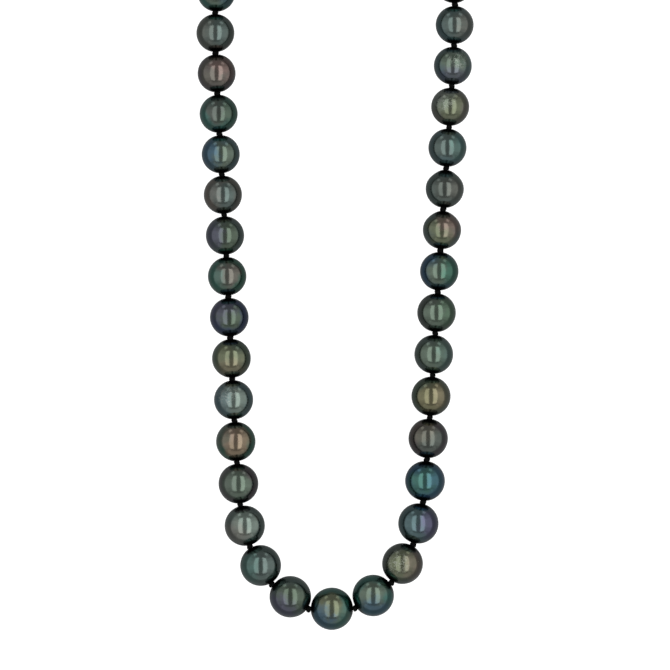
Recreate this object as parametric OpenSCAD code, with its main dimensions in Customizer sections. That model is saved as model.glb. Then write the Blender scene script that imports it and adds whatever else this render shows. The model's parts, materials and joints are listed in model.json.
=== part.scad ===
// Graduated pearl necklace, knotted on silk and closed by a trigger clasp.
//
// The strand lies flat in a closed loop. X runs from the left arm to the right
// arm, Y from the centre pearl to the clasp and Z up from the surface that the
// pearls rest on. The origin is on that surface, in the middle of the loop.
// Every pearl turns on the knots beside it, about a vertical axis.

/* [Pearls] */
// Diameter of the centre pearl
centre_d = 11.0; // [10:0.1:12]
// Diameter that the pearls get close to towards the clasp
end_d = 9.8; // [9:0.1:9.9]
// Pearls over which most of the grading happens
grading = 5; // [3:0.5:8]
// Drill hole through each pearl
hole_d = 0.9; // [0.8:0.05:1]

/* [Silk] */
// Diameter of the doubled silk thread
silk_d = 0.6; // [0.4:0.05:0.7]
// Width of a knot
knot_d = 1.4; // [1.2:0.05:1.5]
// Gap between pearls at the centre pearl's knots
centre_gap = 0.85; // [0.8:0.01:0.9]
// Gap between pearls further up the left arm
left_gap = 0.60; // [0.55:0.01:0.8]
// Gap between pearls further up the right arm
right_gap = 0.74; // [0.55:0.01:0.8]

/* [Layout] */
// Pearls over which each arm turns upwards from the centre
turn_span = 4.5; // [4:0.1:5]
// Slope of the straight stretch of the left arm, in degrees
left_slope = 87.0; // [84:0.1:90]
// Slope of the straight stretch of the right arm, in degrees
right_slope = 86.2; // [84:0.1:90]
// Tilt of the centre pearl, in degrees
centre_tilt = 1.0; // [0:0.1:3]
// How late the arms turn in towards the clasp
arch_power = 2.6; // [2:0.1:3.2]

/* [Clasp] */
// Outer radius of the clasp's hook
hook_r = 3.3; // [3.2:0.05:3.4]
// Radius of the space inside the hook
hook_hole_r = 2.25; // [2.2:0.05:2.3]
// Half the thickness of the clasp's body
body_half = 1.0; // [0.95:0.01:1.05]
// Half the thickness of the clasp's lever
lever_half = 0.5; // [0.45:0.01:0.52]
// Radius of the lever's pin
pin_r = 0.38; // [0.36:0.01:0.4]
// Distance between the wires at the two sides of the clasp's own ring
ring_span = 3.4; // [3.3:0.05:3.5]
// Wire radius of the clasp's own ring
ring_wire_r = 0.35; // [0.3:0.01:0.36]
// Distance between the wires at the two sides of the catch ring
catch_span = 5.0; // [4.9:0.05:5.1]
// Wire radius of the catch ring
catch_wire_r = 0.40; // [0.35:0.01:0.41]

/* [Hidden] */
GREEN = "#46584c";
TEAL = "#36595a";
BLUE = "#3f4d63";
PLUM = "#564d58";
BRONZE = "#6b5c4e";
OLIVE = "#5e5d48";
SLATE = "#4e595b";
SILVER = "#7d8a90";
SILK = "#17181a";
METAL = "#d5d6da";

// Overtone of each pearl, from the centre towards the clasp
centre_tone = TEAL;
left_tones = [
    GREEN, SLATE, SILVER, PLUM, BRONZE, SILVER, OLIVE, BLUE, TEAL, GREEN,
    SLATE, BLUE, TEAL, PLUM, GREEN, SLATE, OLIVE, TEAL, PLUM, GREEN
];
right_tones = [
    TEAL, OLIVE, BLUE, TEAL, PLUM, BRONZE, GREEN, SLATE, TEAL, BRONZE,
    GREEN, SLATE, OLIVE, SLATE, BLUE, TEAL, GREEN, PLUM, SLATE, OLIVE
];

LEFT = -1;
RIGHT = 1;

// Pearls on each arm, besides the centre pearl
arm_pearls = 20;

// Pearls: their grading and the gaps that the knots fill

function pearl_r(n) = (end_d + (centre_d - end_d) * exp(-n / grading)) / 2;
function side_gap(side) = side == LEFT ? left_gap : right_gap;
gap_fade = 2;
function gap(side, k) = side_gap(side)
    + (centre_gap - side_gap(side)) * exp(-(k - 1) / gap_fade);
knot_squash = 0.1;
knot_h = knot_d - knot_squash;
knot_bevel = 0.25;
seat_clear = 0.06;
hole_past = 0.3;

// Layout: each pearl is a straight link from one knot to the next, and its
// slope is that of the arm's turn at the centre plus that of the arch.
// The last pearl's link reaches past it, to the middle of the silk's end loop
end_reach = 1.5;
function arm_slope(side) = side == LEFT ? left_slope : right_slope;
function turn(side, n) = let(s = max(0, 1 - n / turn_span))
    arm_slope(side) * (1 - s * s) + centre_tilt * side * s;
function arch(side, n, start) = n <= start ? 0 :
    (180 - arm_slope(side)) * pow((n - start) / (arm_pearls + 1 - start), arch_power);
function slope(side, n, start) = turn(side, n) + arch(side, n, start);
function way(side, n, start) = let(s = slope(side, n, start)) [side * cos(s), sin(s)];
function link(side, n) = gap(side, n) / 2 + 2 * pearl_r(n)
    + (n < arm_pearls ? gap(side, n + 1) / 2 : end_reach);
first_reach = pearl_r(0) + centre_gap / 2;
function knots(side, start, n = 0, at = undef) =
    let(here = n == 0 ? side * first_reach * [cos(centre_tilt), sin(centre_tilt)]
            : at + way(side, n, start) * link(side, n))
    n == arm_pearls ? [here] : concat([here], knots(side, start, n + 1, here));

// Clasp: sizes in its own plane, measured from the hole in its tail

hook_at = [5.2, 0];
catch_seat = [1.0, 0.3];
catch_at = hook_at + catch_seat;
claw_span = norm(catch_at);
clasp_span = ring_span + claw_span + catch_span;

// The pearl at which the arms begin to turn in is found by halving, so that
// their ends come to the clasp's length apart

function ends_apart(start) = norm(knots(RIGHT, start)[arm_pearls] - knots(LEFT, start)[arm_pearls]);
function find_start(low, high, turns) = let(mid = (low + high) / 2)
    turns == 0 ? mid :
    ends_apart(mid) < clasp_span ? find_start(mid, high, turns - 1)
        : find_start(low, mid, turns - 1);
earliest_start = 5;
latest_start = 19.5;
halvings = 40;
arch_start = find_start(earliest_start, latest_start, halvings);
raw_left = knots(LEFT, arch_start);
raw_right = knots(RIGHT, arch_start);

// Pearl centres, and the loop moved so that its box is centred on the origin

function raw_centre(side, knot_list, n) = n == 0 ? [0, 0] :
    knot_list[n - 1] + way(side, n, arch_start) * (gap(side, n) / 2 + pearl_r(n));
low_x = min([for (n = [0:arm_pearls]) raw_centre(LEFT, raw_left, n).x - pearl_r(n)]);
high_x = max([for (n = [0:arm_pearls]) raw_centre(RIGHT, raw_right, n).x + pearl_r(n)]);
high_y = max([for (n = [0:arm_pearls]) raw_centre(RIGHT, raw_right, n).y + pearl_r(n)]);
low_y = -pearl_r(0);
middle = [(low_x + high_x) / 2, (low_y + high_y) / 2];

// Heights: each pearl rests on the surface, and a knot is midway between its neighbours

function knot_z(k) = k > arm_pearls ? pearl_r(arm_pearls) : (pearl_r(k - 1) + pearl_r(k)) / 2;
function lift(p, z) = [p.x - middle.x, p.y - middle.y, z];
left_knots = [for (k = [1:arm_pearls + 1]) lift(raw_left[k - 1], knot_z(k))];
right_knots = [for (k = [1:arm_pearls + 1]) lift(raw_right[k - 1], knot_z(k))];
function side_knots(side) = side == LEFT ? left_knots : right_knots;
function raw_knots(side) = side == LEFT ? raw_left : raw_right;
function centre(side, n) = lift(raw_centre(side, raw_knots(side), n), pearl_r(n));

// Where the clasp lies: its tail, and the direction along it

clasp_way = (right_knots[arm_pearls] - left_knots[arm_pearls]) / clasp_span;
clasp_turn = atan2(clasp_way.y, clasp_way.x);
tail_at = left_knots[arm_pearls] + clasp_way * ring_span;
claw_turn = clasp_turn - atan2(catch_at.y, catch_at.x);

// Clasp details

tail_r = 1.5;
tail_hole_r = 0.8;
tail_half = 0.6;
neck_w = 2.6;
pin_angle = -150;
pin_circle_r = 2.8;
pin_at = hook_at + pin_circle_r * [cos(pin_angle), sin(pin_angle)];
pin_half = 0.96;
pin_clear = 0.04;
pin_hole_fit = 0.01;
mouth_from = -126;
mouth_to = 8;
// The lever's tip has to swing clear of the hook's inner wall, 4.96 from the pin
lever_reach = 4.85;
lever_clear = 0.12;
lever_edge = 0.1;
boss_r = 1.15;
fork_r = 1.35;
fork_clear = 0.08;
fork_half = lever_half + fork_clear;
fork_turn = -135;
fork_lap = 4;
thumb_at = pin_at + [-0.9, -1.75];
thumb_r = 0.75;
thumb_root_r = 0.6;
spring_r = 0.66;
spring_wire_r = 0.1;
spring_turns = 3;
spring_pitch = 0.24;
spring_post_r = 0.08;
pocket_r = 0.82;
pocket_half = 0.4;

// Wrapped wire loops that carry the silk round the clasp's rings

loop_r = 1.12;
loop_wire_r = 0.36;
loop_bore_r = 0.24;
loop_silk_r = 0.2;
loop_gap_angle = 70;
steps = 48;

// A straight rod from one point to another

module rod(from, to, r) {
    run = to - from;
    translate(from)
        rotate([0, acos(run.z / norm(run)), atan2(run.y, run.x)])
            cylinder(h = norm(run), r = r, $fn = steps);
}

// A knot's outline turned about its vertical axis, larger by the given clearance

module knot(clear = 0) {
    r = knot_d / 2 + clear;
    h = knot_h / 2 + clear;
    rotate_extrude($fn = steps)
        polygon([
            [0, -h], [r - knot_bevel, -h], [r, -h + knot_bevel],
            [r, h - knot_bevel], [r - knot_bevel, h], [0, h]
        ]);
}

// A ring of round wire, flat in X and Y

module wire_ring(r, wire_r, angle = 360) {
    rotate_extrude(angle = angle, $fn = steps)
        translate([r, 0])
            circle(r = wire_r, $fn = steps);
}

// A drilled pearl with a seat for the knot at each mouth of its hole

module pearl(tone, at, r, from, to) {
    along = (to - from) / norm(to - from);
    beside = atan2(along.y, along.x) + 90;
    color(tone)
        difference() {
            translate(at) rotate(beside) sphere(r = r, $fn = 2 * steps);
            rod(from - along * hole_past, to + along * hole_past, hole_d / 2);
            translate(from) knot(seat_clear);
            translate(to) knot(seat_clear);
        }
}

module arm_pearl(side, n) {
    list = side_knots(side);
    tones = side == LEFT ? left_tones : right_tones;
    pearl(tones[n - 1], centre(side, n), pearl_r(n), list[n - 1], list[n]);
}

module pearl_centre() {
    pearl(centre_tone, centre(LEFT, 0), pearl_r(0), left_knots[0], right_knots[0]);
}

// The silk: one doubled thread through every pearl, a knot in every gap, and
// a loop at each end

module silk_arm(side) {
    list = side_knots(side);
    for (n = [1:arm_pearls]) {
        tip = n < arm_pearls ? list[n] : loop_root(side);
        rod(list[n - 1], tip, silk_d / 2);
        translate(list[n - 1]) knot();
    }
}

function end_way(side) = let(w = way(side, arm_pearls, arch_start)) [w.x, w.y, 0];
function end_at(side) = side_knots(side)[arm_pearls];
function loop_root(side) = end_at(side) - end_way(side) * (loop_r - loop_silk_r / 2);

module silk_cord() {
    color(SILK) {
        rod(left_knots[0], right_knots[0], silk_d / 2);
        silk_arm(LEFT);
        silk_arm(RIGHT);
        for (side = [LEFT, RIGHT])
            translate(end_at(side)) wire_ring(loop_r, loop_silk_r);
    }
}

// The wrapped wire over the silk at one end, open where the silk leaves the pearl

module gimp(side) {
    w = end_way(side);
    color(METAL)
        translate(end_at(side))
            rotate(atan2(w.y, w.x) + 180 + loop_gap_angle / 2)
                rotate_extrude(angle = 360 - loop_gap_angle, $fn = steps)
                    translate([loop_r, 0])
                        difference() {
                            circle(r = loop_wire_r, $fn = steps);
                            circle(r = loop_bore_r, $fn = steps);
                        }
}

module gimp_left() { gimp(LEFT); }
module gimp_right() { gimp(RIGHT); }

// A ring standing upright along the clasp, its near wire at the given point

module upright_ring(at, span, wire_r) {
    color(METAL)
        translate(at + clasp_way * span / 2)
            rotate([90, 0, clasp_turn])
                wire_ring(span / 2, wire_r);
}

module clasp_ring() { upright_ring(end_at(LEFT), ring_span, ring_wire_r); }
module catch_ring() {
    upright_ring(end_at(RIGHT) - clasp_way * catch_span, catch_span, catch_wire_r);
}

// Puts what is drawn in the clasp's own plane in its place

module in_clasp() {
    translate(tail_at) rotate(claw_turn) children();
}

module slab(half) {
    translate([0, 0, -half]) linear_extrude(2 * half) children();
}

module at(p) {
    translate(p) children();
}

// The wedge of the hook that the lever closes

module mouth_wedge(from, to) {
    reach = 3 * hook_r;
    middle_angle = (from + to) / 2;
    at(hook_at)
        polygon([
            [0, 0],
            reach * [cos(from), sin(from)],
            reach * [cos(middle_angle), sin(middle_angle)],
            reach * [cos(to), sin(to)]
        ]);
}

module hook_outline() {
    difference() {
        union() {
            at(hook_at) circle(r = hook_r, $fn = 2 * steps);
            translate([tail_r / 2, -neck_w / 2]) square([hook_at.x - hook_r, neck_w]);
        }
        at(hook_at) circle(r = hook_hole_r, $fn = 2 * steps);
        intersection() {
            mouth_wedge(mouth_from, mouth_to);
            at(pin_at) circle(r = lever_reach + lever_clear, $fn = 2 * steps);
        }
    }
}

module clasp_body() {
    color(METAL)
        in_clasp()
            difference() {
                union() {
                    slab(body_half) {
                        hook_outline();
                        at(pin_at) circle(r = boss_r, $fn = steps);
                    }
                    slab(tail_half) circle(r = tail_r, $fn = steps);
                }
                slab(2 * body_half) circle(r = tail_hole_r, $fn = steps);
                slab(2 * body_half) at(pin_at) circle(r = pin_r + pin_hole_fit, $fn = steps);
                slab(fork_half) at(pin_at) circle(r = fork_r, $fn = steps);
                slab(fork_half) fork_way();
                slab(2 * body_half) at(hook_at) circle(r = hook_hole_r, $fn = 2 * steps);
            }
}

// The slot that leaves the thumb piece and the lever's arm free to turn

module fork_way() {
    at(pin_at)
        rotate(fork_turn)
            translate([0, -fork_r])
                square([2 * fork_r, 2 * fork_r]);
    intersection() {
        mouth_wedge(pin_angle, mouth_from + fork_lap);
        at(hook_at) circle(r = 2 * hook_r, $fn = 2 * steps);
    }
}

module clasp_lever() {
    color(METAL)
        in_clasp()
            difference() {
                slab(lever_half) {
                    intersection() {
                        difference() {
                            at(hook_at) circle(r = hook_r - lever_edge, $fn = 2 * steps);
                            at(hook_at) circle(r = hook_hole_r + lever_edge, $fn = 2 * steps);
                        }
                        mouth_wedge(pin_angle, mouth_to);
                        at(pin_at) circle(r = lever_reach, $fn = 2 * steps);
                    }
                    at(pin_at) circle(r = boss_r, $fn = steps);
                    hull() {
                        at(pin_at) circle(r = thumb_root_r, $fn = steps);
                        at(thumb_at) circle(r = thumb_r, $fn = steps);
                    }
                }
                slab(2 * lever_half) at(pin_at) circle(r = pin_r + pin_clear, $fn = steps);
                slab(pocket_half) at(pin_at) circle(r = pocket_r, $fn = steps);
            }
}

module clasp_pin() {
    color(METAL)
        in_clasp()
            slab(pin_half) at(pin_at) circle(r = pin_r, $fn = steps);
}

// The lever's spring: close turns of fine wire round the pin, with the two
// ends drawn as one post

module clasp_spring() {
    color(METAL)
        in_clasp()
            at([pin_at.x, pin_at.y, 0]) {
                for (i = [0:spring_turns - 1])
                    translate([0, 0, (i - (spring_turns - 1) / 2) * spring_pitch])
                        wire_ring(spring_r, spring_wire_r);
                translate([-spring_r, 0, -spring_pitch])
                    cylinder(h = 2 * spring_pitch, r = spring_post_r, $fn = steps);
            }
}

function two(n) = n < 10 ? str("0", n) : str(n);
function arm_names(word) = [for (n = [1:arm_pearls]) str(word, two(n))];

pearl_centre();
for (n = [1:arm_pearls]) {
    arm_pearl(LEFT, n);
    arm_pearl(RIGHT, n);
}
silk_cord();
gimp_left();
gimp_right();
clasp_ring();
clasp_body();
clasp_lever();
clasp_pin();
clasp_spring();
catch_ring();
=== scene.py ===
"""Looks of a graduated pearl necklace: drilled nacre pearls on knotted silk, closed by a trigger clasp.

Lengths are metres unless a name says mm. X runs from the left arm to the right arm, Y from the centre
pearl to the clasp, and Z up from the surface that the pearls rest on.
"""

import json
import logging
import math
from collections.abc import Callable
from dataclasses import dataclass
from enum import Enum
from functools import cache

import bmesh
import bpy
from bpy.types import ID, Material, Node, NodeInputs, NodeOutputs, NodeSocket, NodeTree, Object
from mathutils import Matrix, Vector
from mathutils.noise import noise


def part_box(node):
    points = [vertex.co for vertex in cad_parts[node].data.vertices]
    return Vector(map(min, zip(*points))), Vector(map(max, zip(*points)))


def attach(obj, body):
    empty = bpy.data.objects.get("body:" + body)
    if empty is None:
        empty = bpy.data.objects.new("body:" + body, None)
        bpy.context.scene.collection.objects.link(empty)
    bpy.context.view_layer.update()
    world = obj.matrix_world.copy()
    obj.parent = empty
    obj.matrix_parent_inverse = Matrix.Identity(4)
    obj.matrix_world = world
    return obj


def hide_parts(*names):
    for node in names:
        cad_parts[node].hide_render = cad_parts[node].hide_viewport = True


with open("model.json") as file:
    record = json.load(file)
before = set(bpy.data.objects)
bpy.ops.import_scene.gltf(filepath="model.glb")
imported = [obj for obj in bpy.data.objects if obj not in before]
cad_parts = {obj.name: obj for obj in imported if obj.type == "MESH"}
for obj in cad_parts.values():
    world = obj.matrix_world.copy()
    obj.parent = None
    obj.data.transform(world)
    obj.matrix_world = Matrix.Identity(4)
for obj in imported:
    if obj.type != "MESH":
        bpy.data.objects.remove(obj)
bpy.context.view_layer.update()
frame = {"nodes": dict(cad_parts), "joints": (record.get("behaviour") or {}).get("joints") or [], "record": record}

MM = 0.001
log = logging.getLogger("pearl_necklace")

Colour = tuple[float, float, float]


# ---------------------------------------------------------------- helpers


def rest_nothing_selected() -> None:
    """Leaves edit mode if it is on, and deselects every object."""
    if bpy.context.object and bpy.context.object.mode != "OBJECT":
        bpy.ops.object.mode_set(mode="OBJECT")
    bpy.ops.object.select_all(action="DESELECT")


def only(piece: Object) -> Object:
    """Selects one object alone and makes it the active one.

    Args:
        piece: The object to work on.

    Returns:
        The same object.
    """
    rest_nothing_selected()
    piece.select_set(True)
    bpy.context.view_layer.objects.active = piece
    return piece


def newly_made(name: str) -> Object:
    """Names the primitive that was just added.

    Args:
        name: The piece's name.

    Returns:
        The new object.
    """
    piece = bpy.context.object
    piece.name = name
    piece.data.name = name
    return piece


def settle(piece: Object) -> Object:
    """Applies a piece's place to its mesh, so that its object sits at the origin."""
    piece.data.transform(piece.matrix_basis)
    piece.matrix_basis = Matrix.Identity(4)
    piece.data.update()
    return piece


def apply_modifiers(piece: Object) -> Object:
    """Applies every modifier of a piece, in order."""
    only(piece)
    for modifier in list(piece.modifiers):
        bpy.ops.object.modifier_apply(modifier=modifier.name)
    return piece


def in_scene(name: str, data: ID) -> Object:
    """Makes an object for a mesh, a curve, a lamp or a camera, and puts it in the scene."""
    made = bpy.data.objects.new(name, data)
    bpy.context.scene.collection.objects.link(made)
    return made


def own_copy(master: Object, name: str, place: Matrix) -> Object:
    """Copies a master with a mesh of its own, put in place.

    Args:
        master: The piece that was modelled once.
        name: The copy's name.
        place: Where the copy goes, applied to its vertices.

    Returns:
        The copy.
    """
    mesh = master.data.copy()
    mesh.name = name
    mesh.transform(place)
    return in_scene(name, mesh)


def discard(piece: Object) -> None:
    """Removes a master once its copies are made."""
    bpy.data.objects.remove(piece)


def dress(piece: Object, material: Material) -> None:
    """Gives a piece one material."""
    piece.data.materials.clear()
    piece.data.materials.append(material)


def hand_over(piece: Object, material: Material, body: str, node: str) -> Object:
    """Dresses a piece and hands it to its body.

    Args:
        piece: The piece.
        material: Its material.
        body: The body it rides on.
        node: The CAD node that it stands for.

    Returns:
        The same piece.
    """
    dress(piece, material)
    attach(piece, body)
    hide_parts(node)
    return piece


def select_where(piece: Object, keep: Callable[[object], bool], kind: str) -> None:
    """Enters edit mode with only the elements that keep accepts selected.

    Args:
        piece: The piece in hand, in object mode.
        keep: Says of one element whether it is selected.
        kind: FACE or VERT.
    """
    bpy.ops.object.mode_set(mode="EDIT")
    bpy.ops.mesh.select_mode(type=kind)
    bpy.ops.mesh.select_all(action="DESELECT")
    bpy.ops.object.mode_set(mode="OBJECT")
    chosen = piece.data.polygons if kind == "FACE" else piece.data.vertices
    for element in chosen:
        element.select = bool(keep(element))
    bpy.ops.object.mode_set(mode="EDIT")


def aim(at: Vector, axis: Vector, up: Vector = Vector((0, 0, 1))) -> Matrix:
    """A place whose own Z runs along an axis, and whose own X stays as near to up as it can.

    Args:
        at: The place's origin.
        axis: The direction of its Z.
        up: The direction that its X leans to.

    Returns:
        The matrix from the piece's own frame to the row frame.
    """
    z = axis.normalized()
    y = z.cross(up).normalized()
    x = y.cross(z)
    turn = Matrix((x, y, z)).transposed().to_4x4()
    return Matrix.Translation(at) @ turn


def tube(name: str, path: list[Vector], radius: float, sides: int, closed: bool = False) -> Object:
    """A round tube along a path, as a mesh.

    Args:
        name: The piece's name.
        path: The points of the centreline.
        radius: The tube's radius.
        sides: Even count of faces round the tube.
        closed: Whether the path joins up with itself.

    Returns:
        The tube.
    """
    curve = bpy.data.curves.new(name, "CURVE")
    curve.dimensions = "3D"
    curve.bevel_depth = radius
    curve.bevel_resolution = max(0, sides // 2 - 2)
    curve.use_fill_caps = not closed
    spline = curve.splines.new("POLY")
    spline.points.add(len(path) - 1)
    for point, place in zip(spline.points, path):
        point.co = (*place, 1.0)
    spline.use_cyclic_u = closed
    only(in_scene(name, curve))
    bpy.ops.object.convert(target="MESH")
    piece = bpy.context.object
    piece.data.name = name
    bpy.ops.object.shade_smooth()
    return piece


def face_outwards(piece: Object) -> None:
    """Merges doubles and turns every face outwards."""
    only(piece)
    bpy.ops.object.mode_set(mode="EDIT")
    bpy.ops.mesh.select_all(action="SELECT")
    bpy.ops.mesh.remove_doubles(threshold=1e-7)
    bpy.ops.mesh.normals_make_consistent(inside=False)
    bpy.ops.object.mode_set(mode="OBJECT")


# ---------------------------------------------------------------- shader kit


class Shader:
    """Wires nodes in one material or node group."""

    def __init__(self, tree: NodeTree) -> None:
        """Starts from an empty tree."""
        self.tree = tree
        tree.nodes.clear()

    def node(self, kind: str, **values: object) -> Node:
        """Adds a node and sets its properties by name."""
        made = self.tree.nodes.new(kind)
        for key, value in values.items():
            setattr(made, key, value)
        return made

    def link(self, source: NodeSocket, target: NodeSocket) -> None:
        """Joins two sockets."""
        self.tree.links.new(source, target)

    def feed(self, target: NodeSocket, value: object) -> None:
        """Sets a socket from a number, or links it from another socket."""
        if isinstance(value, NodeSocket):
            self.link(value, target)
        else:
            target.default_value = value

    def fill(self, made: Node, inputs: dict[str, object]) -> Node:
        """Feeds a node's inputs by name, and returns the node."""
        for name, value in inputs.items():
            self.feed(made.inputs[name], value)
        return made

    def maths(self, operation: str, *values: object) -> NodeSocket:
        """A Math node's result, fed with numbers or sockets."""
        made = self.node("ShaderNodeMath", operation=operation)
        for socket, value in zip(made.inputs, values):
            self.feed(socket, value)
        return made.outputs[0]

    def vector(self, operation: str, *values: object) -> Node:
        """A Vector Math node fed with values, as the node."""
        made = self.node("ShaderNodeVectorMath", operation=operation)
        for socket, value in zip(made.inputs, values):
            self.feed(socket, value)
        return made

    def ramp(self, value: object, low: object, high: object) -> NodeSocket:
        """0 below low, 1 above high and smooth between."""
        made = self.node("ShaderNodeMapRange", interpolation_type="SMOOTHSTEP")
        self.feed(made.inputs["Value"], value)
        self.feed(made.inputs["From Min"], low)
        self.feed(made.inputs["From Max"], high)
        return made.outputs["Result"]

    def mix(self, share: object, first: object, second: object) -> NodeSocket:
        """A colour between two, by a share from 0 to 1."""
        made = self.node("ShaderNodeMix", data_type="RGBA", clamp_factor=True)
        # The Mix node keeps its number and vector sockets before its colour ones
        self.feed(made.inputs[0], share)
        self.feed(made.inputs[6], first)
        self.feed(made.inputs[7], second)
        return made.outputs[2]

    def noise(self, place: object, scale: float, detail: float = 2.0, rough: float = 0.5) -> NodeSocket:
        """A noise pattern's value at a place."""
        inputs = {"Vector": place, "Scale": scale, "Detail": detail, "Roughness": rough}
        return self.fill(self.node("ShaderNodeTexNoise"), inputs).outputs["Fac"]

    def scaled(self, value: object, factor: object) -> NodeSocket:
        """A value times a factor."""
        return self.maths("MULTIPLY", value, factor)

    def swing(self, pattern: object, reach: float) -> NodeSocket:
        """A pattern from 0 to 1, made to swing to both sides of 0 over a reach."""
        return self.scaled(self.maths("SUBTRACT", pattern, 0.5), reach)

    def along(self, place: object, direction: object) -> NodeSocket:
        """How far a place lies along a direction."""
        return self.vector("DOT_PRODUCT", place, direction).outputs["Value"]

    def parts(self, place: object) -> NodeOutputs:
        """A place's three coordinates."""
        split = self.node("ShaderNodeSeparateXYZ")
        self.feed(split.inputs[0], place)
        return split.outputs

    def object_place(self) -> NodeSocket:
        """The place on the surface, in the piece's own coordinates."""
        return self.node("ShaderNodeTexCoord").outputs["Object"]

    def relief(self, height: object, strength: float, distance: float) -> NodeSocket:
        """The normal of a surface with a fine relief."""
        inputs = {"Strength": strength, "Distance": distance, "Height": height}
        return self.fill(self.node("ShaderNodeBump"), inputs).outputs["Normal"]

    def surface(self, inputs: dict[str, object]) -> None:
        """Ends a material with one surface, its inputs fed by name."""
        shader = self.fill(self.node("ShaderNodeBsdfPrincipled"), inputs)
        self.link(shader.outputs[0], self.node("ShaderNodeOutputMaterial").inputs["Surface"])


def new_material(name: str) -> tuple[Material, Shader]:
    material = bpy.data.materials.new(name)
    material.use_nodes = True
    return material, Shader(material.node_tree)


def rgba(colour: Colour) -> tuple[float, float, float, float]:
    """A colour with full alpha."""
    return (*colour, 1.0)


def linear(red: int, green: int, blue: int) -> Colour:
    """A screen colour, each part from 0 to 255, as the linear colour that shaders use."""

    def part(value: int) -> float:
        """One part of the colour."""
        share = value / 255
        return share / 12.92 if share <= 0.04045 else ((share + 0.055) / 1.055) ** 2.4

    return (part(red), part(green), part(blue))


# What dark nacre keeps of a softened tone's red, green and blue: it leans a little to green
GREEN_LEAN = (0.93, 1.02, 0.97)


def softened_tone(colour: Colour, strength: float) -> Colour:
    """Draws a colour towards the grey of its own brightness, and leans it a little to green.

    Args:
        colour: The full colour.
        strength: How much of its colour it keeps, from 0 to 1.

    Returns:
        The softer colour.
    """
    grey = 0.2126 * colour[0] + 0.7152 * colour[1] + 0.0722 * colour[2]
    return tuple((grey + (part - grey) * strength) * lean for part, lean in zip(colour, GREEN_LEAN))


def new_group(
    name: str, inputs: dict[str, float | tuple[float, ...]], outputs: dict[str, float | tuple[float, ...]]
) -> tuple[NodeTree, Shader, NodeOutputs, NodeInputs]:
    """Makes an empty node group with named sockets: numbers, places or colours, as their values say.

    Args:
        name: The group's name.
        inputs: Each input's starting value.
        outputs: Each output, with a value of its kind.

    Returns:
        The group, its shader kit, what it is given and what it has to be fed.
    """
    group = bpy.data.node_groups.new(name, "ShaderNodeTree")
    kit = Shader(group)
    kinds = {1: "NodeSocketFloat", 3: "NodeSocketVector", 4: "NodeSocketColor"}
    for in_out, sockets in (("INPUT", inputs), ("OUTPUT", outputs)):
        for socket, value in sockets.items():
            kind = kinds[1 if isinstance(value, float) else len(value)]
            group.interface.new_socket(name=socket, in_out=in_out, socket_type=kind).default_value = value
    return group, kit, kit.node("NodeGroupInput").outputs, kit.node("NodeGroupOutput").inputs


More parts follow.
